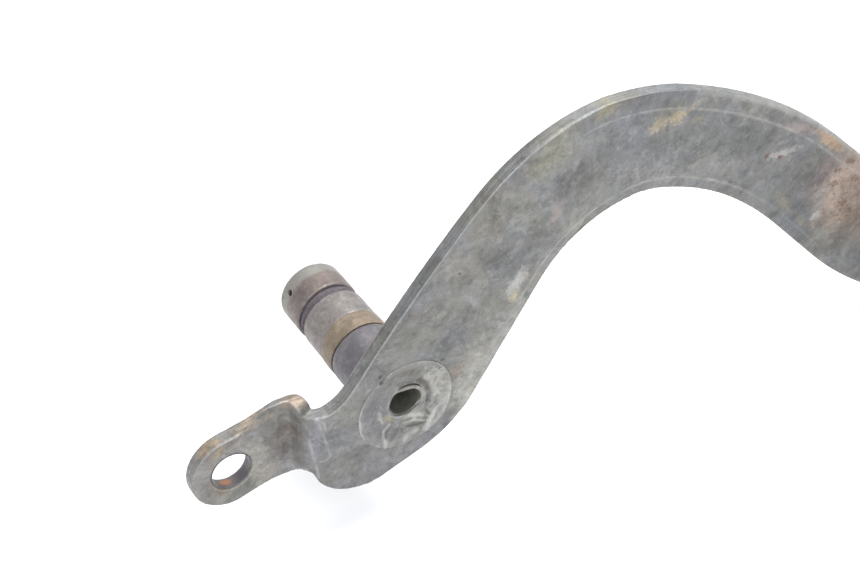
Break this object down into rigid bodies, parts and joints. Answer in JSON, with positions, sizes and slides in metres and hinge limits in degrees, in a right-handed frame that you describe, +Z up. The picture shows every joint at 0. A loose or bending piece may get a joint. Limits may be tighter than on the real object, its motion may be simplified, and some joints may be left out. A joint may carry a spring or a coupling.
{
  "type": "foot lever",
  "caption": "Arched foot lever for a motorcycle: a steel plate on a hollow sealed pivot journal, with a joggled rear lug for a push-rod and a sprung folding toe peg.",
  "frame": {"origin": "on the pivot axis, where the bore sleeve ends, in the arm's outer face", "axes": "+X forward along the lever towards the toe peg, +Y inboard along the pivot journal, +Z up"},
  "size_m": [0.2482, 0.1116, 0.1097],
  "materials": {
    "plated_plate": "weathered zinc-plated steel plate, grey-green, scratched, pitted and lightly rusted",
    "journal_steel": "turned steel, oiled and stained, slightly pinkish grey",
    "sleeve_steel": "bare steel, dull",
    "ochre_ring": "dull golden brown, stained by grease",
    "seal_rubber": "black, greasy",
    "plated_peg": "weathered zinc-plated forging, matt",
    "peg_rubber": "black ribbed rubber, worn dull",
    "pin_steel": "zinc-plated steel, worn",
    "spring_steel": "dark oiled spring steel",
    "washer_steel": "plain steel, bright where it rubs"
  },
  "bodies": {
    "lever": {"lever_arm": "plated_plate", "pivot_journal": "journal_steel", "bore_sleeve": "sleeve_steel", "dust_ring": "ochre_ring", "tip_o_ring": "seal_rubber", "hinge_barrel": "plated_plate", "fold_spring": "spring_steel"},
    "toe": {"toe_peg": "plated_peg", "toe_rubber": "peg_rubber", "hinge_pin": "pin_steel", "pin_clip": "spring_steel", "upper_washer": "washer_steel", "lower_washer": "washer_steel"}
  },
  "joints": [
    {"name": "toe_fold", "type": "hinge", "parent": "lever", "child": "toe", "pos_m": [0.183, -0.0075, -0.0209], "axis": [0, 0, -1], "range_deg": [0, 75], "stiffness_Nm_per_rad": 0.8, "springref_deg": -34.38, "deforming": ["fold_spring"]}
  ]
}
